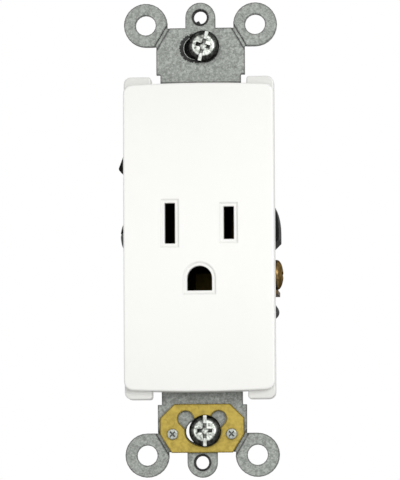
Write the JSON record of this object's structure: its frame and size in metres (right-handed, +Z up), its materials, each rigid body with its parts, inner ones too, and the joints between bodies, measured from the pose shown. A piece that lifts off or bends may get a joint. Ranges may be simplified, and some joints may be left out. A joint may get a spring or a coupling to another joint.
{
  "type": "single wall outlet",
  "caption": "Single decorator wall outlet: white face with blade slots and a ground hole, steel mounting strap with plaster ears, grounding clip and black wiring body with screw terminals.",
  "frame": {"origin": "midway between the two box screws, on the back face of the mounting strap", "axes": "+Z up along the strap, +Y back into the wall box, the socket face looks towards -Y"},
  "size_m": [0.0357, 0.0301, 0.1032],
  "materials": {
    "white_nylon": "smooth semi-gloss",
    "black_thermoset": "moulded satin",
    "galvanised_steel": "galvanised, mottled",
    "brass": "rolled brass",
    "bright_zinc": "bright zinc plate",
    "green_plated_steel": "green plate",
    "black_fibre": "dull fibre"
  },
  "bodies": {
    "receptacle": {"face_cover": "white_nylon", "rear_body": "black_thermoset", "mounting_strap": "galvanised_steel", "ground_clip": "brass", "clip_rivet_left": "galvanised_steel", "clip_rivet_right": "galvanised_steel", "hot_contact": "brass", "neutral_contact": "brass", "ground_contact": "brass", "ground_contact_rivet": "galvanised_steel", "assembly_screw_upper_left": "bright_zinc", "assembly_screw_upper_right": "bright_zinc", "assembly_screw_lower_left": "bright_zinc", "assembly_screw_lower_right": "bright_zinc"},
    "hot_clamp": {"hot_clamp_plate": "brass"},
    "hot_screw": {"hot_terminal_screw": "brass"},
    "neutral_clamp": {"neutral_clamp_plate": "bright_zinc"},
    "neutral_screw": {"neutral_terminal_screw": "bright_zinc"},
    "ground_clamp": {"ground_clamp_plate": "galvanised_steel"},
    "ground_screw": {"ground_terminal_screw": "green_plated_steel"},
    "top_washer": {"retaining_washer": "black_fibre"},
    "top_screw": {"mounting_screw_top": "bright_zinc"},
    "bottom_screw": {"mounting_screw_bottom": "bright_zinc"}
  },
  "joints": [
    {"name": "hot_clamp_slide", "type": "slide", "parent": "receptacle", "child": "hot_clamp", "axis": [1, 0, 0], "range_m": [-0.0016, 0.0012]},
    {"name": "hot_screw_turn", "type": "hinge", "parent": "hot_clamp", "child": "hot_screw", "pos_m": [0.0152, 0.009, -0.0072], "axis": [1, 0, 0], "range_deg": [-730, 547]},
    {"name": "neutral_clamp_slide", "type": "slide", "parent": "receptacle", "child": "neutral_clamp", "axis": [-1, 0, 0], "range_m": [-0.0027, 0.0001]},
    {"name": "neutral_screw_turn", "type": "hinge", "parent": "neutral_clamp", "child": "neutral_screw", "pos_m": [-0.0163, 0.009, 0.00156], "axis": [-1, 0, 0], "range_deg": [-1231, 47]},
    {"name": "ground_clamp_slide", "type": "slide", "parent": "receptacle", "child": "ground_clamp", "axis": [-1, 0, 0], "range_m": [-0.0016, 0.0012]},
    {"name": "ground_screw_turn", "type": "hinge", "parent": "ground_clamp", "child": "ground_screw", "pos_m": [-0.0152, 0.009, -0.0195], "axis": [-1, 0, 0], "range_deg": [-730, 547]},
    {"name": "top_washer_slide", "type": "slide", "parent": "receptacle", "child": "top_washer", "axis": [1, 0, 0], "range_m": [-0.0024, 0.001]},
    {"name": "top_screw_turn", "type": "hinge", "parent": "top_washer", "child": "top_screw", "pos_m": [0.0007, -0.0016, 0.04195], "axis": [0, -1, 0], "continuous": true},
    {"name": "bottom_screw_turn", "type": "hinge", "parent": "receptacle", "child": "bottom_screw", "pos_m": [0.0007, -0.0025, -0.04165], "axis": [0, -1, 0], "continuous": true}
  ],
  "couplings": [
    {"joint": "hot_screw_turn", "follows": "hot_clamp_slide", "rad_per_m": 7915.8},
    {"joint": "neutral_screw_turn", "follows": "neutral_clamp_slide", "rad_per_m": 7915.8},
    {"joint": "ground_screw_turn", "follows": "ground_clamp_slide", "rad_per_m": 7915.8}
  ]
}
